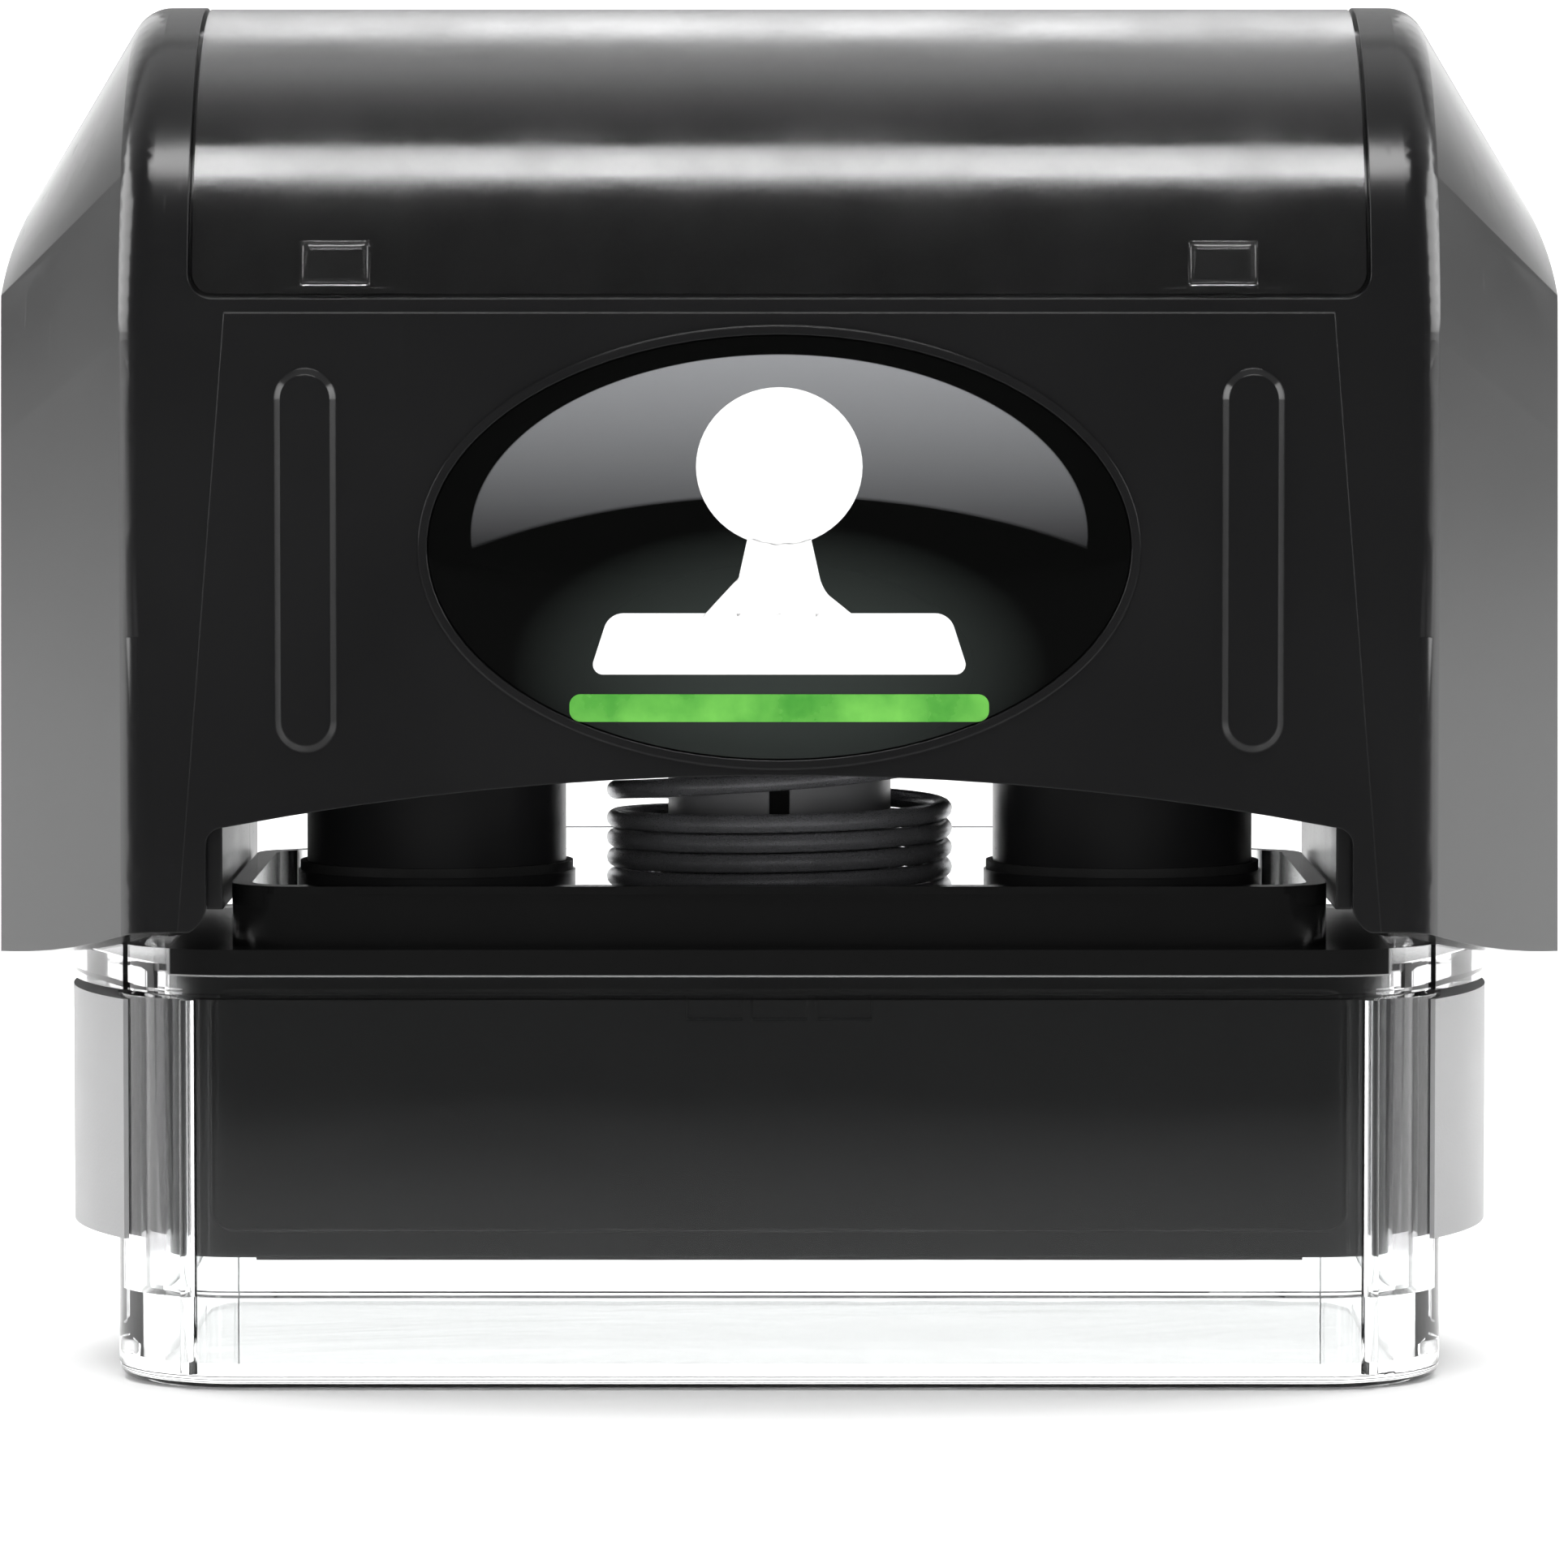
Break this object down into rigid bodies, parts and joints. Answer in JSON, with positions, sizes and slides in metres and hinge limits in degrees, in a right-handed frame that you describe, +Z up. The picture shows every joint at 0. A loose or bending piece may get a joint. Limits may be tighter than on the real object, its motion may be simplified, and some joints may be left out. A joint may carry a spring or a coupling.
{
  "type": "pre-inked hand stamp",
  "caption": "Hand stamp with its own ink: a gloss black handle slides on two posts over a clear frame with a return spring, above a clear dust cap",
  "frame": {"origin": "middle of the dust cap's underside", "axes": "+X along the stamp's length, -Y out of the badge side, +Z up along the press"},
  "size_m": [0.1014, 0.0428, 0.0882],
  "materials": {
    "gloss_black": "polished black ABS",
    "dark_plastic": "satin black moulding",
    "grey_plastic": "grey moulding",
    "clear_plastic": "clear styrene",
    "clear_window": "clear styrene, polished",
    "frosted_plastic": "frosted clear styrene",
    "badge": "printed label under a clear resin dome",
    "spring_steel": "bright spring wire",
    "black_rubber": "moulded rubber",
    "die_rubber": "porous stamp rubber wet with ink",
    "ink_felt": "felt soaked with black ink",
    "foam": "open cell foam"
  },
  "bodies": {
    "cap": {"dust_cap": "clear_plastic", "cap_grip_left": "frosted_plastic", "cap_grip_right": "frosted_plastic"},
    "skirt": {"skirt_frame": "clear_plastic", "stop_pads": "black_rubber", "guide_bush_left": "dark_plastic", "guide_bush_right": "dark_plastic", "post_ring_left": "black_rubber", "post_ring_right": "black_rubber", "spring_seat": "spring_steel", "return_spring": "spring_steel", "spring_guide_tube": "grey_plastic"},
    "handle": {"handle_shell": "gloss_black", "inner_chassis": "dark_plastic", "guide_post_left": "dark_plastic", "guide_post_right": "dark_plastic", "post_screws": "spring_steel", "die_carrier": "dark_plastic", "die_retainer": "dark_plastic", "ink_die": "die_rubber", "ink_reservoir_pad": "ink_felt", "reservoir_plate": "grey_plastic", "mount_cushion": "foam", "front_badge": "badge", "side_plate_left": "dark_plastic", "side_plate_right": "dark_plastic", "press_columns": "dark_plastic", "spring_cup": "dark_plastic"},
    "window": {"index_window": "clear_window"}
  },
  "joints": [
    {"name": "cap_pull", "type": "slide", "parent": "cap", "child": "skirt", "axis": [0, 0, 1], "range_m": [0, 0.03]},
    {"name": "press", "type": "slide", "parent": "skirt", "child": "handle", "axis": [0, 0, -1], "range_m": [0, 0.0016], "stiffness_N_per_m": 714, "springref_m": -0.01, "deforming": ["return_spring"]},
    {"name": "window_lift", "type": "slide", "parent": "handle", "child": "window", "axis": [0, 0, 1], "range_m": [0, 0.022]}
  ]
}
